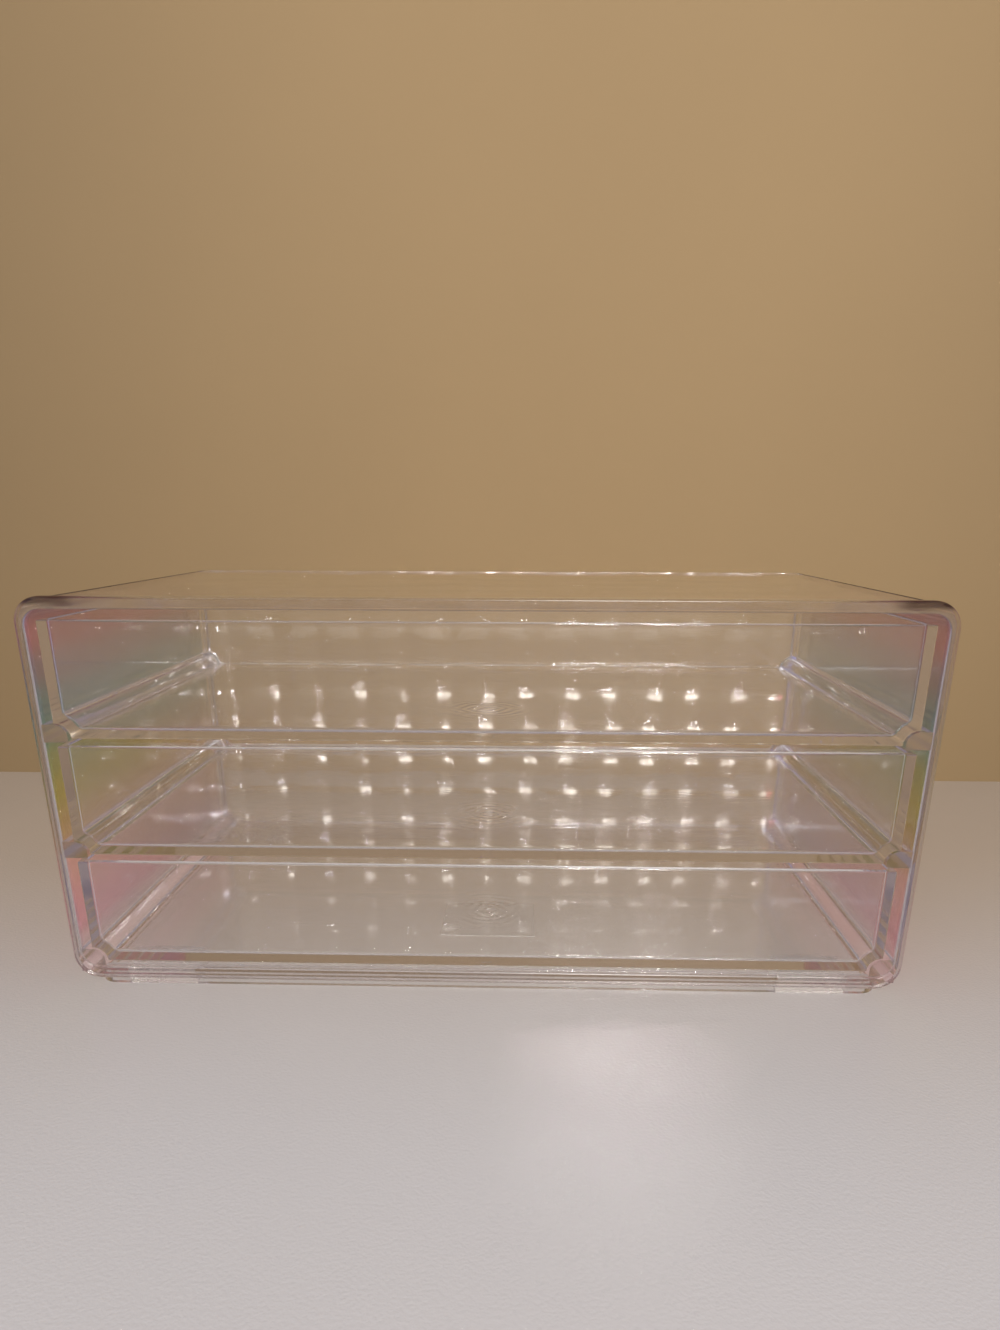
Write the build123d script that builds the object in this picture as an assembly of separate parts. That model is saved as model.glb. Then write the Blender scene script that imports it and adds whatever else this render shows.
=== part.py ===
"""Clear makeup organizer: a moulded casing, three sliding drawers and four feet.

Millimetres, +Z up, the drawers open towards -Y. The origin is the middle of the footprint, on the table.
"""
import os

from build123d import *

# Casing: a front rim with the body behind it
case_width = 300.0
case_depth = 166.0
case_height = 140.0
rim_depth = 3.0
rim_proud = 0.8
rim_corner_radius = 9.0
rim_edge_fillet = 0.8
rim_sill = 1.1
rear_edge_fillet = 1.0
side_wall = 2.0
top_wall = 3.1
floor_wall = 2.8
bay_corner_radius = 6.0

# Hollow ring under the body, set in from the rim and from the back
ring_height = 4.8
ring_inset = 5.0
ring_wall = 2.5
ring_corner_radius = 7.0
ring_lift = 0.4

# Bare field in the underside
label_width = 37.0
label_length = 32.0
label_depth = 0.4
label_from_front = 33.0

# Back wall, diamond-cut on its outer face
back_wall = 3.0
back_inset = 0.6
diamond_width = 44.0
diamond_height = 33.0
diamond_depth = 2.0
diamond_flat = 0.5

# Side rails that carry the drawers: flat on top, with a rounded nose
rail_reach = 8.2
rail_nose_radius = 4.2
rail_under_radius = 0.8
rail_under_gap = 1.4
rail_setback = 1.0

# Drawers, from the bottom up
drawer_names = ["drawer_bottom", "drawer_middle", "drawer_top"]
drawer_gap = 2.7
drawer_top_gap = 3.5
drawer_floor_gap = 3.0
drawer_back_gap = 2.0
drawer_setback = 1.0
drawer_hang = 4.7
drawer_wall = 2.5
drawer_floor = 2.5
drawer_front = 2.5
notch_side_gap = 0.9
notch_top_gap = 0.3
notch_ledge = 0.4
floor_fillet = 1.8
corner_fillet = 2.5
drawer_edge_fillet = 0.6

# Round moulding mark under each drawer
gate_radius = 3.0
gate_height = 0.3
gate_from_front = 48.0

# Feet in the corners of the ring
foot_width = 25.0
foot_length = 11.5
foot_side_gap = 9.5
foot_end_gap = 0.5
foot_places = {
    "foot_front_left": (-1, -1),
    "foot_front_right": (1, -1),
    "foot_rear_left": (-1, 1),
    "foot_rear_right": (1, 1),
}

# Worked out from the sizes above
front_y = -case_depth / 2
back_y = case_depth / 2
body_half = case_width / 2 - rim_proud
body_bottom = ring_height + rim_proud
body_top = case_height - rim_proud
bay_half = body_half - side_wall
bay_floor = body_bottom + floor_wall
bay_ceiling = body_top - top_wall
back_outer_y = back_y - back_inset
back_inner_y = back_outer_y - diamond_depth - back_wall
lowest_drawer_z = bay_floor + drawer_floor_gap
stack_height = bay_ceiling - drawer_top_gap - lowest_drawer_z
drawer_pitch = (stack_height + drawer_gap) / len(drawer_names)
drawer_height = drawer_pitch - drawer_gap
rail_nose_x = bay_half - rail_reach
notch_radius = rail_nose_radius + (notch_side_gap + notch_top_gap) / 2
notch_x = rail_nose_x - notch_side_gap + notch_radius
drawer_half = notch_x + notch_ledge
drawer_front_y = front_y + drawer_setback
drawer_back_y = back_inner_y - drawer_back_gap


def drawer_bottom(level):
    """Height of a drawer's underside, level 0 at the bottom."""
    return lowest_drawer_z + level * drawer_pitch


def rail_top(level):
    """A drawer hangs between its two rails, so its underside is lower than their tops."""
    return drawer_bottom(level) + drawer_hang


def run_along_depth(section, near_y, far_y):
    """Solid of an X-Z section that runs from near_y back to far_y."""
    return extrude(Plane.XZ.offset(-far_y) * section, amount=far_y - near_y)


def rounded_section(half_width, low, high, radius):
    """Rounded rectangle in X-Z, centred on X, between two heights."""
    return Pos(0, (low + high) / 2) * RectangleRounded(2 * half_width, high - low, radius)


def rail_section(level):
    """Rail on the right wall. The lowest one grows out of the floor too."""
    top = rail_top(level)
    low = drawer_bottom(level) - drawer_gap + rail_under_gap
    if level == 0:
        low = bay_floor - floor_wall / 2
    wall_x = bay_half + side_wall / 2
    under_x = rail_nose_x + rail_under_radius
    flat_x = rail_nose_x + rail_nose_radius
    nose_low = low + rail_under_radius
    nose_high = top - rail_nose_radius
    return make_face(Curve() + [
        Line((wall_x, low), (under_x, low)),
        RadiusArc((under_x, low), (rail_nose_x, nose_low), rail_under_radius),
        Line((rail_nose_x, nose_low), (rail_nose_x, nose_high)),
        RadiusArc((rail_nose_x, nose_high), (flat_x, top), rail_nose_radius),
        Line((flat_x, top), (wall_x, top)),
        Line((wall_x, top), (wall_x, low)),
    ])


def back_panel():
    """Back wall. Two families of slanted V grooves leave a field of four-sided diamonds."""
    section = rounded_section(bay_half + side_wall / 2, bay_floor - floor_wall / 2,
                              bay_ceiling + top_wall / 2, bay_corner_radius)
    panel = run_along_depth(section, back_inner_y, back_outer_y)
    row_z = (bay_floor + bay_ceiling) / 2 - diamond_height / 4
    reach = case_width + case_height
    groove_count = round(reach / diamond_width)
    grooves = []
    for slant in (1, -1):
        along = Vector(diamond_width, 0, slant * diamond_height).normalized()
        across = Vector(0, 1, 0).cross(along)
        pitch = diamond_width * abs(across.X)
        half = (pitch - diamond_flat) / 2
        outline = Polyline((-half, 0), (0, -diamond_depth), (half, 0), close=True)
        for k in range(-groove_count, groove_count + 1):
            middle = Vector((k + 0.5) * diamond_width, back_outer_y, row_z)
            plane = Plane(middle - along * reach, x_dir=across, z_dir=along)
            grooves.append(extrude(plane * make_face(outline), amount=2 * reach))
    return panel - grooves


def stand_ring():
    """Hollow ring that the body stands on."""
    width = case_width - 2 * ring_inset
    length = case_depth - 2 * ring_inset
    outer = RectangleRounded(width, length, ring_corner_radius)
    inner = RectangleRounded(width - 2 * ring_wall, length - 2 * ring_wall,
                             ring_corner_radius - ring_wall)
    top = body_bottom + floor_wall / 2
    return Pos(0, 0, ring_lift) * extrude(outer - inner, amount=top - ring_lift)


def label_recess():
    """Bare shallow field in the underside."""
    middle_y = front_y + label_from_front + label_length / 2
    return Pos(0, middle_y, body_bottom) * Box(label_width, label_length, 2 * label_depth)


def casing():
    """Rim, body, rails, back wall and the ring below, moulded in one piece."""
    rim_half = case_width / 2
    rim_back_y = front_y + rim_depth
    body_radius = rim_corner_radius - rim_proud
    rim = run_along_depth(
        rounded_section(rim_half, ring_height, case_height, rim_corner_radius), front_y, rim_back_y)
    body = run_along_depth(
        rounded_section(body_half, body_bottom, body_top, body_radius), front_y + rim_depth / 2, back_y)
    mouth = run_along_depth(
        rounded_section(bay_half, bay_floor + rim_sill, bay_ceiling, bay_corner_radius),
        front_y, rim_back_y)
    bay = run_along_depth(
        rounded_section(bay_half, bay_floor, bay_ceiling, bay_corner_radius), rim_back_y, back_y)
    shell = rim + body - mouth - bay
    for level in range(len(drawer_names)):
        rail = run_along_depth(rail_section(level), front_y + rail_setback, back_inner_y + back_wall / 2)
        shell += [rail, mirror(rail, about=Plane.YZ)]
    shell += back_panel()
    shell = fillet(shell.faces().sort_by(Axis.Y)[0].edges(), rim_edge_fillet)
    shell = fillet(shell.faces().sort_by(Axis.Y)[-1].outer_wire().edges(), rear_edge_fillet)
    return shell + stand_ring() - label_recess()


def notched_section(level, wall_x, low, high, grow):
    """Drawer's X-Z section. Its lower corners curve round the rail noses, grow millimetres off the notch."""
    radius = notch_radius + grow
    middle_z = rail_top(level) + notch_top_gap - notch_radius
    drop = max(middle_z, low) - middle_z
    low_x = notch_x - (radius ** 2 - drop ** 2) ** 0.5
    top_x = min(notch_x, wall_x)
    top_z = middle_z + (radius ** 2 - (notch_x - top_x) ** 2) ** 0.5
    slant = radius * 0.5 ** 0.5
    outline = [Line((-low_x, low), (low_x, low)), Line((-wall_x, high), (wall_x, high))]
    for side in (1, -1):
        outline.append(ThreePointArc(
            (side * low_x, middle_z + drop),
            (side * (notch_x - slant), middle_z + slant),
            (side * top_x, top_z)))
        outline.append(Line((side * wall_x, top_z), (side * wall_x, high)))
        if low < middle_z:
            outline.append(Line((side * low_x, low), (side * low_x, middle_z)))
        if top_x < wall_x:
            outline.append(Line((side * top_x, top_z), (side * wall_x, top_z)))
    return make_face(Curve() + outline)


def drawer_hollow(level):
    """Inside of a drawer, with its rounded floor edge and corners."""
    low = drawer_bottom(level) + drawer_floor
    rim_z = drawer_bottom(level) + drawer_height
    high = rim_z + drawer_wall
    section = notched_section(level, drawer_half - drawer_wall, low, high, drawer_wall)
    corners = [vertex for vertex in section.vertices() if vertex.Y < rim_z]
    hollow = run_along_depth(fillet(corners, corner_fillet), drawer_front_y + drawer_front,
                             drawer_back_y - drawer_wall)
    ends = hollow.faces().sort_by(Axis.Y)
    edges = ends[0].edges() + ends[-1].edges()
    return fillet([edge for edge in edges if edge.center().Z < rim_z], floor_fillet)


def drawer(level):
    """One clear drawer, open on top."""
    low = drawer_bottom(level)
    section = notched_section(level, drawer_half, low, low + drawer_height, 0)
    tray = run_along_depth(section, drawer_front_y, drawer_back_y) - drawer_hollow(level)
    by_depth = tray.faces().sort_by(Axis.Y)
    rounded = [by_depth[0], by_depth[-1], tray.faces().sort_by(Axis.Z)[-1]]
    tray = fillet({edge for face in rounded for edge in face.edges()}, drawer_edge_fillet)
    gate_y = front_y + gate_from_front
    return tray + Pos(0, gate_y, low - gate_height / 2) * Cylinder(gate_radius, gate_height)


def foot(side, end):
    """Clear foot in a corner of the ring, flat on the table."""
    inner_half = case_width / 2 - ring_inset - ring_wall
    inner_end = case_depth / 2 - ring_inset - ring_wall
    middle_x = side * (inner_half - foot_side_gap - foot_width / 2)
    middle_y = end * (inner_end - foot_end_gap - foot_length / 2)
    return Pos(middle_x, middle_y, body_bottom / 2) * Box(foot_width, foot_length, body_bottom)


def write(node, solid):
    """Write one node's STEP file and print its volume."""
    export_step(solid, f"parts/{node}.step")
    print(node, len(solid.solids()), round(solid.volume))


os.makedirs("parts", exist_ok=True)
write("casing", casing())
for level, name in enumerate(drawer_names):
    write(name, drawer(level))
for name, (side, end) in foot_places.items():
    write(name, foot(side, end))
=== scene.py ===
import math
from types import SimpleNamespace

import bpy
import numpy as np
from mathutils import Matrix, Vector


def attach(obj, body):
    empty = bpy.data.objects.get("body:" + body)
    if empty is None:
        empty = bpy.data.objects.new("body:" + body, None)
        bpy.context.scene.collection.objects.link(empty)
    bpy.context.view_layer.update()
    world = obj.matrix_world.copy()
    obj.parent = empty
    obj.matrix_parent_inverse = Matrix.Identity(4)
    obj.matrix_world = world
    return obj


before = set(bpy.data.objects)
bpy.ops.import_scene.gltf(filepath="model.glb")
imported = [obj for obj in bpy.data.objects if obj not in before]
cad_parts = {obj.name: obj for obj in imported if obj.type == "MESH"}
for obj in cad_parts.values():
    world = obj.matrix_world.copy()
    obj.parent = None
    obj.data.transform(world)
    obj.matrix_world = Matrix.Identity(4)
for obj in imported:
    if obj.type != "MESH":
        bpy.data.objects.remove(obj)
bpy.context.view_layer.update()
print("frame loaded:", len(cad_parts), "pieces")

mm = 0.001


# Helpers for node trees and meshes

def fill(tree, socket, value):
    # links another node's socket to this one, or writes a plain number or colour into it
    if isinstance(value, bpy.types.NodeSocket):
        tree.links.new(value, socket)
    else:
        socket.default_value = value


def addNode(tree, kind, **settings):
    # one node; a setting that names an input fills that input, any other is a property of the node
    node = tree.nodes.new(kind)
    for name, value in settings.items():
        if name in node.inputs:
            fill(tree, node.inputs[name], value)
        else:
            setattr(node, name, value)
    return node


def calc(tree, operation, *values, clamp=False):
    # one Math node on sockets or plain numbers
    node = addNode(tree, "ShaderNodeMath", operation=operation, use_clamp=clamp)
    for socket, value in zip(node.inputs, values):
        fill(tree, socket, value)
    return node.outputs[0]


def addMap(tree, value, low, high, toLow, toHigh):
    # smooth step of a value from one range to another
    ends = {"From Min": low, "From Max": high, "To Min": toLow, "To Max": toHigh}
    node = addNode(tree, "ShaderNodeMapRange", interpolation_type="SMOOTHSTEP", Value=value, **ends)
    return node.outputs["Result"]


def softEdge(tree, value, edge, blur, below=0.0, above=1.0):
    # smooth step of a value across an edge, blur wide on either side of it
    return addMap(tree, value, edge - blur, edge + blur, below, above)


def ramp(tree, factor, stops, blend="EASE"):
    # colour ramp from a list of (place, colour)
    node = addNode(tree, "ShaderNodeValToRGB", Fac=factor)
    band = node.color_ramp
    band.interpolation = blend
    while len(band.elements) < len(stops):
        band.elements.new(0.5)
    for element, (place, colour) in zip(band.elements, stops):
        element.position = place
        element.color = (*colour, 1.0)
    return node.outputs["Color"]


def mixColours(tree, share, first, second, blend="MIX"):
    # the first colour where share is 0, and the second, or with MULTIPLY both multiplied, where it is 1
    node = addNode(tree, "ShaderNodeMix", data_type="RGBA", blend_type=blend, Factor=share)
    sockets = {socket.identifier: socket for socket in [*node.inputs, *node.outputs]}
    fill(tree, sockets["A_Color"], first)
    fill(tree, sockets["B_Color"], second)
    return sockets["Result_Color"]


def blendShaders(tree, share, first, second, output):
    # the first shader where share is 0 and the second where it is 1, into the output
    pick = addNode(tree, "ShaderNodeMixShader")
    for socket, source in zip(pick.inputs, (share, first.outputs[0], second.outputs[0])):
        tree.links.new(source, socket)
    tree.links.new(pick.outputs[0], output.inputs["Surface"])


def newGroup(name, takes, gives):
    # empty node group with named inputs and outputs
    tree = bpy.data.node_groups.new(name, "ShaderNodeTree")
    for label, kind, start in takes:
        socket = tree.interface.new_socket(name=label, in_out="INPUT", socket_type=kind)
        if start is not None:
            socket.default_value = start
    for label, kind in gives:
        tree.interface.new_socket(name=label, in_out="OUTPUT", socket_type=kind)
    return tree, tree.nodes.new("NodeGroupInput").outputs, tree.nodes.new("NodeGroupOutput").inputs


def placeGroup(tree, group, **values):
    # the group in a material, with its own values; names are written without spaces
    node = addNode(tree, "ShaderNodeGroup", node_tree=group)
    for socket in node.inputs:
        key = socket.name.replace(" ", "")
        key = key[0].lower() + key[1:]
        if key in values:
            fill(tree, socket, values[key])
    return node


def startMaterial(name, plain):
    # new material with plain values on its shader, and the place on the surface, whole and as x, y and z
    material = bpy.data.materials.new(name)
    material.use_nodes = True
    tree = material.node_tree
    shader = tree.nodes["Principled BSDF"]
    for label, value in plain.items():
        shader.inputs[label].default_value = value
    place = addNode(tree, "ShaderNodeTexCoord").outputs["Object"]
    x, y, z = addNode(tree, "ShaderNodeSeparateXYZ", Vector=place).outputs
    return SimpleNamespace(
        material=material, tree=tree, shader=shader, output=tree.nodes["Material Output"],
        place=place, x=x, y=y, z=z)


def meshPiece(name, points, faces, smooth=True):
    # mesh object from arrays of points and four-sided faces, at the origin
    data = bpy.data.meshes.new(name)
    data.from_pydata([tuple(p) for p in points], [], [tuple(f) for f in faces])
    data.polygons.foreach_set("use_smooth", np.full(len(data.polygons), smooth))
    data.update()
    piece = bpy.data.objects.new(name, data)
    bpy.context.scene.collection.objects.link(piece)
    return piece


def wear(node, material):
    # gives a CAD piece its material
    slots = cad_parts[node].data.materials
    slots.clear()
    slots.append(material)


# Surface effects that several materials share

skinLook = {
    "rippleDetail": 1.0, "rippleRough": 0.4,
    "scratchStretch": (0.15, 1.0, 1.0), "scratchTurn": (0.2, 0.5, 0.9), "scratchDetail": 3.0,
    "scratchRough": 0.6, "scratchBend": 0.4, "scratchWidth": 0.012, "scratchHeight": -0.004,
    "hazeScale": 14.0, "hazeDetail": 4.0, "hazeRough": 0.6, "hazeFrom": 0.35, "hazeFull": 0.7,
    "scratchShare": 0.6, "hazeShare": 0.5,
}


def mouldedSkin(look):
    # height, in mm = slow ripples of the mould, less fine scratches
    # roughness = from Low to High, by the share of the scratches and of a cloudy haze
    tree, takes, gives = newGroup(
        "mouldedSkin",
        [("Vector", "NodeSocketVector", None), ("Ripple Scale", "NodeSocketFloat", 30.0),
         ("Ripple Height", "NodeSocketFloat", 0.1), ("Scratch Scale", "NodeSocketFloat", 60.0),
         ("Low", "NodeSocketFloat", 0.02), ("High", "NodeSocketFloat", 0.1)],
        [("Roughness", "NodeSocketFloat"), ("Height", "NodeSocketFloat"), ("Haze", "NodeSocketFloat")])
    ripples = addNode(tree, "ShaderNodeTexNoise", Vector=takes["Vector"], Scale=takes["Ripple Scale"],
                      Detail=look["rippleDetail"], Roughness=look["rippleRough"])
    lengthen = addNode(tree, "ShaderNodeMapping", Vector=takes["Vector"],
                       Scale=look["scratchStretch"], Rotation=look["scratchTurn"])
    scratches = addNode(tree, "ShaderNodeTexNoise", Vector=lengthen.outputs[0],
                        Scale=takes["Scratch Scale"], Detail=look["scratchDetail"],
                        Roughness=look["scratchRough"], Distortion=look["scratchBend"])
    fromLine = calc(tree, "ABSOLUTE", calc(tree, "SUBTRACT", scratches.outputs["Fac"], 0.5))
    thin = addMap(tree, fromLine, 0.0, look["scratchWidth"], 1.0, 0.0)
    haze = addNode(tree, "ShaderNodeTexNoise", Vector=takes["Vector"], Scale=look["hazeScale"],
                   Detail=look["hazeDetail"], Roughness=look["hazeRough"])
    cloudy = addMap(tree, haze.outputs["Fac"], look["hazeFrom"], look["hazeFull"], 0.0, 1.0)
    worn = calc(tree, "MULTIPLY_ADD", thin, look["scratchShare"],
                calc(tree, "MULTIPLY", cloudy, look["hazeShare"]), clamp=True)
    spread = calc(tree, "SUBTRACT", takes["High"], takes["Low"])
    slow = calc(tree, "MULTIPLY", ripples.outputs["Fac"], takes["Ripple Height"])
    fill(tree, gives["Roughness"], calc(tree, "MULTIPLY_ADD", worn, spread, takes["Low"]))
    fill(tree, gives["Height"], calc(tree, "MULTIPLY_ADD", thin, look["scratchHeight"], slow))
    fill(tree, gives["Haze"], cloudy)
    return tree


def tintedPatch():
    # painted shade: colour = the colour taken, times the tint where the mask is 1
    tree, takes, gives = newGroup(
        "tintedPatch",
        [("Colour", "NodeSocketColor", None), ("Mask", "NodeSocketFloat", 0.0),
         ("Tint", "NodeSocketColor", None)],
        [("Colour", "NodeSocketColor")])
    tinted = mixColours(tree, takes["Mask"], takes["Colour"], takes["Tint"], "MULTIPLY")
    fill(tree, gives["Colour"], tinted)
    return tree


def mottledPaint():
    # colour = the colour taken, times a cloudy share that runs from Dark to 1
    tree, takes, gives = newGroup(
        "mottledPaint",
        [("Vector", "NodeSocketVector", None), ("Scale", "NodeSocketFloat", 4.0),
         ("Colour", "NodeSocketColor", None), ("Dark", "NodeSocketFloat", 0.95)],
        [("Colour", "NodeSocketColor")])
    cloud = addNode(tree, "ShaderNodeTexNoise", Vector=takes["Vector"], Scale=takes["Scale"], Detail=3.0)
    share = softEdge(tree, cloud.outputs["Fac"], 0.5, 0.2, takes["Dark"], 1.0)
    fill(tree, gives["Colour"], mixColours(tree, 1.0, takes["Colour"], share, "MULTIPLY"))
    return tree


skinGroup = mouldedSkin(skinLook)
shadePatchGroup = tintedPatch()
paintGroup = mottledPaint()


def paintShade(made, mask, tint):
    # paints shade: tints whatever feeds the shader's Base Color, where the mask is 1
    base = made.shader.inputs["Base Color"]
    colour = base.links[0].from_socket
    patch = placeGroup(made.tree, shadePatchGroup, colour=colour, mask=mask, tint=(*tint, 1.0))
    fill(made.tree, base, patch.outputs["Colour"])


def carriesLight(tree, path):
    # 1 for rays that carry light from a lamp or from the room to a plain surface
    return calc(tree, "MAXIMUM", path.outputs["Is Shadow Ray"], path.outputs["Is Diffuse Ray"])


def plasticMaterial(name, look):
    # clear plastic bends what is seen, while lamps and soft light pass straight through it
    plain = {"IOR": look["bend"], "Transmission Weight": look["clear"], "Metallic": 0.0}
    made = startMaterial(name, plain)
    tree, shader = made.tree, made.shader
    skin = placeGroup(tree, skinGroup, vector=made.place, rippleScale=look["rippleScale"],
                      rippleHeight=look["rippleHeight"], scratchScale=look["scratchScale"],
                      low=look["smooth"], high=look["dull"])
    made.skin = skin.outputs
    made.bump = addNode(tree, "ShaderNodeBump", Strength=1.0, Distance=mm, Height=skin.outputs["Height"])
    tint = ramp(tree, skin.outputs["Haze"], [(0.0, look["tint"]), (1.0, look["hazeTint"])])
    fill(tree, shader.inputs["Base Color"], tint)
    fill(tree, shader.inputs["Roughness"], skin.outputs["Roughness"])
    fill(tree, shader.inputs["Normal"], made.bump.outputs[0])
    path = addNode(tree, "ShaderNodeLightPath")
    # light that is still caught in a wall after `depth` steps gets out of it
    trapped = calc(tree, "GREATER_THAN", path.outputs["Ray Depth"], look["depth"])
    leaving = ramp(tree, trapped, [(0.0, look["shade"]), (1.0, look["edgeTint"])], "LINEAR")
    through = addNode(tree, "ShaderNodeBsdfTransparent", Color=leaving)
    straight = calc(tree, "MAXIMUM", carriesLight(tree, path), trapped)
    blendShaders(tree, straight, shader, through, made.output)
    return made


# Casing

casingLook = {
    "bend": 1.49, "clear": 1.0, "depth": 9.5,
    "tint": (0.990, 0.990, 0.984), "hazeTint": (0.974, 0.974, 0.966),
    "shade": (0.995, 0.995, 0.995), "edgeTint": (0.965, 0.97, 1.0),
    "smooth": 0.015, "dull": 0.07, "rippleScale": 22.0, "rippleHeight": 0.15, "scratchScale": 90.0,
    # back, where the bump takes domeHeight and facetDepth in mm
    "diamondWidth": 44 * mm, "diamondHeight": 33 * mm, "diamondRowZ": 64 * mm,
    "domeHeight": 3.6, "facetDepth": 4.08, "backFrom": 79.6 * mm, "backRough": 0.07,
    # front rim and its upper corners, whose tints are painted shade
    "rimEdge": -79.8 * mm, "rimBlur": 0.3 * mm, "rimTint": (0.84, 0.80, 0.82), "rimRough": 0.18,
    "cornerFrom": 130 * mm, "cornerBlurX": 4 * mm, "cornerAbove": 137.4 * mm, "cornerBlurZ": 1 * mm,
    "cornerTint": (0.14, 0.10, 0.09),
    # bare field under the floor
    "fieldHalfX": 18.5 * mm, "fieldHalfY": 16.0 * mm, "fieldY": -34.0 * mm, "fieldTop": 6.2 * mm,
    "fieldRough": 0.25,
}


def casingMaterial(look):
    # bump over each diamond of the back = facetDepth max(|a|, |b|) - 2 domeHeight (a a + b b), where a and b
    # are how far a point is from the middle of its diamond along the two slants, in diamonds
    # the first part levels the facets of the mesh, the second rounds each diamond to a dome
    made = plasticMaterial("clearCasing", look)
    tree = made.tree
    across = calc(tree, "DIVIDE", made.x, look["diamondWidth"])
    up = calc(tree, "DIVIDE", calc(tree, "SUBTRACT", made.z, look["diamondRowZ"]), look["diamondHeight"])
    aways = []
    for operation in ("ADD", "SUBTRACT"):
        along = calc(tree, operation, across, up)
        aways.append(calc(tree, "ABSOLUTE", calc(tree, "SUBTRACT", along, calc(tree, "ROUND", along))))
    squares = calc(tree, "ADD", *[calc(tree, "MULTIPLY", away, away) for away in aways])
    facets = calc(tree, "MULTIPLY", calc(tree, "MAXIMUM", *aways), look["facetDepth"])
    dome = calc(tree, "MULTIPLY_ADD", squares, -2.0 * look["domeHeight"], facets)
    back = calc(tree, "GREATER_THAN", made.y, look["backFrom"])
    fill(tree, made.bump.inputs["Height"], calc(tree, "MULTIPLY_ADD", dome, back, made.skin["Height"]))

    fromMiddle = calc(tree, "ABSOLUTE", made.x)
    rim = softEdge(tree, made.y, look["rimEdge"], look["rimBlur"], 1.0, 0.0)
    outward = softEdge(tree, fromMiddle, look["cornerFrom"], look["cornerBlurX"])
    upward = softEdge(tree, made.z, look["cornerAbove"], look["cornerBlurZ"])
    # painted shade: the front rim band is darkened
    paintShade(made, rim, look["rimTint"])
    # painted shade: the rim's upper corners are painted dark brown
    paintShade(made, calc(tree, "MULTIPLY", rim, calc(tree, "MULTIPLY", outward, upward)), look["cornerTint"])

    fromField = calc(tree, "ABSOLUTE", calc(tree, "SUBTRACT", made.y, look["fieldY"]))
    fieldX = calc(tree, "LESS_THAN", fromMiddle, look["fieldHalfX"])
    fieldY = calc(tree, "LESS_THAN", fromField, look["fieldHalfY"])
    fieldZ = calc(tree, "LESS_THAN", made.z, look["fieldTop"])
    field = calc(tree, "MULTIPLY", calc(tree, "MULTIPLY", fieldX, fieldY), fieldZ)
    rough = made.skin["Roughness"]
    for mask, extra in ((rim, look["rimRough"]), (back, look["backRough"]), (field, look["fieldRough"])):
        rough = calc(tree, "MULTIPLY_ADD", mask, extra, rough)
    fill(tree, made.shader.inputs["Roughness"], rough)
    return made.material


wear("casing", casingMaterial(casingLook))
print("casing finished")


# Iridescent side films

filmLook = {
    "offset": 0.06 * mm, "thick": 0.12 * mm, "wallX": 149.2 * mm, "low": 5.6 * mm, "high": 139.2 * mm,
    "cornerRadius": 8.2 * mm, "wrapLow": 62.0, "wrapHigh": 84.0,  # degrees
    "frontY": -79.7 * mm, "rearY": 81.6 * mm, "stepsAcross": 90, "stepsAlong": 60,
    "bend": 1.5, "clear": 0.62, "coat": 0.6, "coatRough": 0.04,
    "smooth": 0.16, "dull": 0.26, "rippleScale": 16.0, "scratchScale": 80.0,
    "waver": 0.10, "waverScale": 7.0,
    # bands of the film's own colour and of its iridescent sheen, painted in by height
    "bands": [
        (0.00, (0.80, 0.74, 0.74)), (0.10, (0.86, 0.70, 0.72)), (0.17, (0.98, 0.55, 0.62)),
        (0.32, (0.98, 0.62, 0.56)), (0.42, (0.74, 0.54, 0.22)), (0.52, (0.63, 0.55, 0.10)),
        (0.60, (0.52, 0.54, 0.20)), (0.68, (0.29, 0.47, 0.36)), (0.75, (0.30, 0.42, 0.42)),
        (0.83, (0.46, 0.36, 0.40)), (0.91, (0.68, 0.32, 0.37)), (1.00, (0.58, 0.29, 0.36))],
    # the dark upper edge with edgeTint is painted shade
    "edgeAbove": 138.5 * mm, "edgeBlur": 0.2 * mm, "edgeTint": (0.05, 0.03, 0.03),
}


def quads(a, b, c, d):
    # four-sided faces from four arrays of point numbers
    return np.stack([a.ravel(), b.ravel(), c.ravel(), d.ravel()], axis=1)


def sideFilm(name, side, look):
    # profile: a straight wall between an arc of wrapLow degrees at its lower end and one of wrapHigh
    # degrees at its upper end, carried from front to rear
    # two such skins, `thick` apart, are closed along their four edges
    radius = look["cornerRadius"]
    straight = look["high"] - look["low"] - 2 * radius
    lowArc = radius * math.radians(look["wrapLow"])
    highArc = radius * math.radians(look["wrapHigh"])
    run = np.linspace(0.0, lowArc + straight + highArc, look["stepsAcross"])
    turn = np.minimum(run - lowArc, 0.0) / radius + np.maximum(run - lowArc - straight, 0.0) / radius
    middleX = look["wallX"] - radius
    middleZ = look["low"] + radius + np.clip(run - lowArc, 0.0, straight)
    depth = np.linspace(look["frontY"], look["rearY"], look["stepsAlong"])
    grid = np.empty((2, len(run), len(depth), 3))
    for skin, out in enumerate((look["offset"], look["offset"] + look["thick"])):
        grid[skin, ..., 0] = side * (middleX + (radius + out) * np.cos(turn))[:, None]
        grid[skin, ..., 1] = depth[None, :]
        grid[skin, ..., 2] = (middleZ + (radius + out) * np.sin(turn))[:, None]
    inner, outer = np.arange(grid[..., 0].size).reshape(grid.shape[:3])
    faces = np.concatenate([
        quads(outer[:-1, :-1], outer[:-1, 1:], outer[1:, 1:], outer[1:, :-1]),
        quads(inner[:-1, :-1], inner[1:, :-1], inner[1:, 1:], inner[:-1, 1:]),
        quads(inner[0, :-1], inner[0, 1:], outer[0, 1:], outer[0, :-1]),
        quads(inner[-1, :-1], outer[-1, :-1], outer[-1, 1:], inner[-1, 1:]),
        quads(inner[:-1, 0], outer[:-1, 0], outer[1:, 0], inner[1:, 0]),
        quads(inner[:-1, -1], inner[1:, -1], outer[1:, -1], outer[:-1, -1]),
    ])
    if side < 0:
        faces = faces[:, ::-1]  # the mirror image would face inwards
    piece = meshPiece(name, grid.reshape(-1, 3), faces)
    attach(piece, "cabinet")
    return piece


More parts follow.
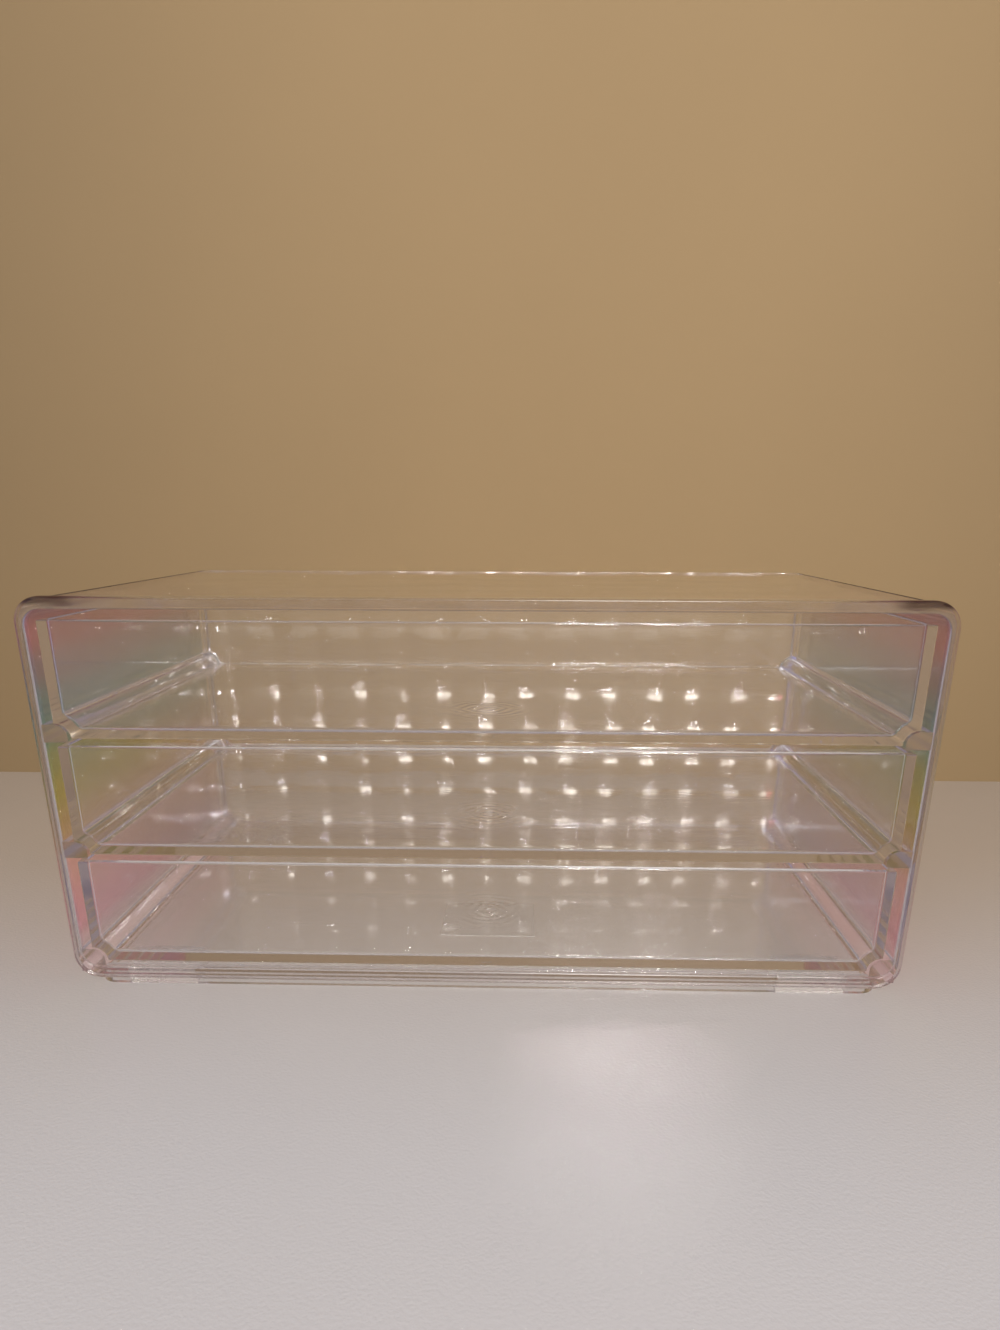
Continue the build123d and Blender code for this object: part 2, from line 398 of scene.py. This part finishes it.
def filmMaterial(look):
    # the colour runs with height and wavers a little from front to rear: the film's own colour with its
    # iridescent sheen painted in as fixed bands; the dark upper edge is painted shade
    plain = {"IOR": look["bend"], "Transmission Weight": look["clear"],
             "Coat Weight": look["coat"], "Coat Roughness": look["coatRough"]}
    made = startMaterial("iridescentFilm", plain)
    tree = made.tree
    noise = addNode(tree, "ShaderNodeTexNoise", Vector=made.place, Scale=look["waverScale"], Detail=1.0)
    waver = calc(tree, "MULTIPLY_ADD", noise.outputs["Fac"], look["waver"], -0.5 * look["waver"])
    height = calc(tree, "ADD", calc(tree, "DIVIDE", made.z, look["high"]), waver)
    colour = ramp(tree, height, look["bands"])
    fill(tree, made.shader.inputs["Base Color"], colour)
    # painted shade: a dark line along the film's upper edge
    paintShade(made, softEdge(tree, made.z, look["edgeAbove"], look["edgeBlur"]), look["edgeTint"])
    skin = placeGroup(tree, skinGroup, vector=made.place, rippleScale=look["rippleScale"],
                      scratchScale=look["scratchScale"], low=look["smooth"], high=look["dull"])
    fill(tree, made.shader.inputs["Roughness"], skin.outputs["Roughness"])
    through = addNode(tree, "ShaderNodeBsdfTransparent", Color=colour)
    path = addNode(tree, "ShaderNodeLightPath")
    blendShaders(tree, carriesLight(tree, path), made.shader, through, made.output)
    return made.material


filmFinish = filmMaterial(filmLook)
for filmName, filmSide in (("side_film_left", -1), ("side_film_right", 1)):
    sideFilm(filmName, filmSide, filmLook).data.materials.append(filmFinish)
print("side films finished")


# Drawers

drawerLook = {
    "bend": 1.49, "clear": 1.0, "depth": 9.5,
    "tint": (0.990, 0.990, 0.985), "hazeTint": (0.976, 0.976, 0.970),
    "shade": (0.995, 0.995, 0.995), "edgeTint": (0.965, 0.97, 1.0),
    "smooth": 0.01, "dull": 0.06, "rippleScale": 26.0, "rippleHeight": 0.10, "scratchScale": 120.0,
    # rings round the moulding mark, their height in mm
    "gateY": -35.0 * mm, "swirlReach": 22.0 * mm, "swirlHeight": 0.03,
    "swirlTurn": 1700.0, "swirlWobble": 7.0, "wobbleScale": 130.0,
}


def drawerMaterial(look):
    # rings spread from the point where the plastic was injected and fade with distance:
    # height = sin(swirlTurn distance + swirlWobble noise), times a share that falls to 0 at swirlReach
    made = plasticMaterial("clearDrawer", look)
    tree = made.tree
    fromGate = calc(tree, "SUBTRACT", made.y, look["gateY"])
    away = calc(tree, "SQRT", calc(tree, "ADD", calc(tree, "MULTIPLY", made.x, made.x),
                                   calc(tree, "MULTIPLY", fromGate, fromGate)))
    noise = addNode(tree, "ShaderNodeTexNoise", Vector=made.place, Scale=look["wobbleScale"], Detail=2.0)
    wobble = calc(tree, "MULTIPLY", noise.outputs["Fac"], look["swirlWobble"])
    rings = calc(tree, "SINE", calc(tree, "MULTIPLY_ADD", away, look["swirlTurn"], wobble))
    fade = addMap(tree, calc(tree, "DIVIDE", away, look["swirlReach"]), 0.0, 1.0, 1.0, 0.0)
    swirl = calc(tree, "MULTIPLY", rings, fade)
    height = calc(tree, "MULTIPLY_ADD", swirl, look["swirlHeight"], made.skin["Height"])
    fill(tree, made.bump.inputs["Height"], height)
    return made.material


drawerFinish = drawerMaterial(drawerLook)
for drawerName in ("drawer_bottom", "drawer_middle", "drawer_top"):
    wear(drawerName, drawerFinish)
print("drawers finished")


# Feet

footLook = {
    "bend": 1.45, "clear": 0.85, "depth": 9.5,
    "tint": (0.90, 0.88, 0.87), "hazeTint": (0.84, 0.82, 0.81),
    "shade": (0.85, 0.83, 0.82), "edgeTint": (0.90, 0.90, 0.92),
    "smooth": 0.22, "dull": 0.42, "rippleScale": 160.0, "rippleHeight": 0.08, "scratchScale": 200.0,
}
footFinish = plasticMaterial("softClearFoot", footLook).material
for footName in ("foot_front_left", "foot_front_right", "foot_rear_left", "foot_rear_right"):
    wear(footName, footFinish)
print("feet finished")


# Table

tableLook = {
    "colour": (0.515, 0.515, 0.56), "dark": 0.97, "mottleScale": 6.0, "rough": 0.27,
    "farFrom": -0.20, "farFull": 0.10, "farTint": (0.88, 0.76, 0.62),
    "pebbleScale": 900.0, "pebbleStrength": 0.25, "pebbleHeight": 0.4 * mm,
    "reach": 3.0, "level": -0.2 * mm,
}


def paint(made, look):
    # mottled colour for the table or the wall
    mottled = placeGroup(made.tree, paintGroup, vector=made.place, scale=look["mottleScale"],
                         colour=(*look["colour"], 1.0), dark=look["dark"])
    fill(made.tree, made.shader.inputs["Base Color"], mottled.outputs["Colour"])


def tableMaterial(look):
    # pale satin board with a fine pebbled skin, with painted shade that makes it darker and warmer towards
    # the wall
    made = startMaterial("paleTable", {"Roughness": look["rough"]})
    tree = made.tree
    paint(made, look)
    # painted shade: darker and warmer towards the wall
    paintShade(made, addMap(tree, made.y, look["farFrom"], look["farFull"], 0.0, 1.0), look["farTint"])
    pebbles = addNode(tree, "ShaderNodeTexNoise", Vector=made.place, Scale=look["pebbleScale"], Detail=1.0)
    bump = addNode(tree, "ShaderNodeBump", Strength=look["pebbleStrength"], Distance=look["pebbleHeight"],
                   Height=pebbles.outputs["Fac"])
    fill(tree, made.shader.inputs["Normal"], bump.outputs[0])
    return made.material


def makeTable(look):
    # one level square, reach wide to each side
    r, z = look["reach"], look["level"]
    corners = [(-r, -r, z), (r, -r, z), (r, r, z), (-r, r, z)]
    piece = meshPiece("table", corners, [(0, 1, 2, 3)], smooth=False)
    piece.data.materials.append(tableMaterial(look))
    return piece


# Wall

wallLook = {
    "colour": (0.350, 0.243, 0.128), "dark": 0.93, "mottleScale": 2.2, "rough": 0.9,
    "middle": 0.07, "asideFrom": 0.05, "asideFull": 0.60, "asideTint": (0.66, 0.66, 0.66),
    "place": 0.223, "reach": 3.0, "low": -0.01, "high": 3.0,
}


def wallMaterial(look):
    # warm painted wall, with painted shade that darkens it to the sides
    # from behind it isn't there, so the object can be seen from the rear too
    made = startMaterial("warmWall", {"Roughness": look["rough"]})
    tree = made.tree
    paint(made, look)
    aside = calc(tree, "ABSOLUTE", calc(tree, "SUBTRACT", made.x, look["middle"]))
    # painted shade: darker to the sides
    paintShade(made, addMap(tree, aside, look["asideFrom"], look["asideFull"], 0.0, 1.0), look["asideTint"])
    behind = addNode(tree, "ShaderNodeNewGeometry").outputs["Backfacing"]
    nothing = addNode(tree, "ShaderNodeBsdfTransparent")
    blendShaders(tree, behind, made.shader, nothing, made.output)
    return made.material


def makeWall(look):
    # one upright rectangle behind the object
    r, y, low, high = look["reach"], look["place"], look["low"], look["high"]
    corners = [(-r, y, low), (r, y, low), (r, y, high), (-r, y, high)]
    piece = meshPiece("wall", corners, [(0, 1, 2, 3)], smooth=False)
    piece.data.materials.append(wallMaterial(look))
    return piece


table = makeTable(tableLook)
wall = makeWall(wallLook)


# Light of the room

airLook = {
    "colour": (1.0, 0.95, 0.90), "level": 0.50,
    # the room as it is seen: (place from -Y to +Y, colour)
    "room": [(0.0, (0.085, 0.062, 0.048)), (0.42, (0.15, 0.108, 0.075)),
             (0.62, (0.34, 0.240, 0.150)), (1.0, (0.40, 0.275, 0.155))],
    # a cool window low on the left: where it starts and is full, as shares of a direction
    "windowColour": (0.34, 0.35, 0.75), "windowAcross": (-0.35, -0.60), "windowTop": (0.25, 0.55),
    "windowAhead": (0.0, -0.2),
}


def makeAir(look):
    # even light all round; camera, mirror and glass rays see the warm room instead
    world = bpy.data.worlds.new("air")
    bpy.context.scene.world = world
    world.use_nodes = True
    tree = world.node_tree
    tree.nodes.clear()
    direction = addNode(tree, "ShaderNodeTexCoord").outputs["Generated"]
    x, y, z = addNode(tree, "ShaderNodeSeparateXYZ", Vector=direction).outputs
    room = ramp(tree, calc(tree, "MULTIPLY_ADD", y, 0.5, 0.5), look["room"])
    across = addMap(tree, x, *look["windowAcross"], 0.0, 1.0)
    below = addMap(tree, z, *look["windowTop"], 1.0, 0.0)
    ahead = addMap(tree, y, *look["windowAhead"], 0.0, 1.0)
    window = calc(tree, "MULTIPLY", calc(tree, "MULTIPLY", across, below), ahead)
    seenColour = mixColours(tree, window, room, (*look["windowColour"], 1.0))
    backdrop = addNode(tree, "ShaderNodeBackground", Color=seenColour, Strength=1.0)
    air = addNode(tree, "ShaderNodeBackground", Color=(*look["colour"], 1.0), Strength=look["level"])
    path = addNode(tree, "ShaderNodeLightPath").outputs
    seen = calc(tree, "MAXIMUM", path["Is Camera Ray"],
                calc(tree, "MAXIMUM", path["Is Glossy Ray"], path["Is Transmission Ray"]))
    blendShaders(tree, seen, air, backdrop, addNode(tree, "ShaderNodeOutputWorld"))


# Lamps

lampLook = {
    "softFront": {"place": (-0.2, -1.0, 1.1), "size": (0.9, 0.9), "power": 3.5,
                  "colour": (1.0, 0.96, 0.92), "aim": (0.0, -0.3, 0.0)},
    "lampLeft": {"place": (0.128, -1.35, 1.00), "size": (0.13, 0.25), "power": 10.0,
                 "colour": (1.0, 0.96, 0.90), "aim": (0.0, 0.0, 0.1)},
    "lampRight": {"place": (0.300, -1.35, 1.00), "size": (0.13, 0.25), "power": 10.0,
                  "colour": (1.0, 0.96, 0.90), "aim": (0.0, 0.0, 0.1)},
}


def makeLamp(name, look):
    # an oval lamp that faces its aim
    data = bpy.data.lights.new(name, "AREA")
    data.shape = "ELLIPSE"
    data.size, data.size_y = look["size"]
    data.energy = look["power"]
    data.color = look["colour"]
    lamp = bpy.data.objects.new(name, data)
    lamp.location = look["place"]
    toward = Vector([a - b for a, b in zip(look["aim"], look["place"])])
    lamp.rotation_euler = toward.to_track_quat("-Z", "Y").to_euler()
    bpy.context.scene.collection.objects.link(lamp)


makeAir(airLook)
for lampName, lampValues in lampLook.items():
    makeLamp(lampName, lampValues)


# Camera

cameraLook = {
    "place": (0.01528, -0.38311, 0.16398), "turn": (68.8728, -0.1658, 1.5490),  # metres, degrees
    "lens": 25.02, "shiftX": -0.0033, "shiftY": 0.1568, "near": 0.01,
}


def makeCamera(look):
    data = bpy.data.cameras.new("photoCamera")
    data.lens = look["lens"]
    data.shift_x = look["shiftX"]
    data.shift_y = look["shiftY"]
    data.clip_start = look["near"]
    camera = bpy.data.objects.new("photoCamera", data)
    camera.location = look["place"]
    camera.rotation_euler = [math.radians(a) for a in look["turn"]]
    bpy.context.scene.collection.objects.link(camera)
    bpy.context.scene.camera = camera


makeCamera(cameraLook)
scene = bpy.context.scene
scene.view_settings.view_transform = "Standard"
scene.cycles.max_bounces = 24  # the view passes through up to a dozen clear walls
scene.cycles.transmission_bounces = 24
scene.cycles.glossy_bounces = 16
scene.cycles.transparent_max_bounces = 40
scene.cycles.sample_clamp_indirect = 80.0  # keeps the lamps' glints in the plastic
print("stage, lamps and camera ready")
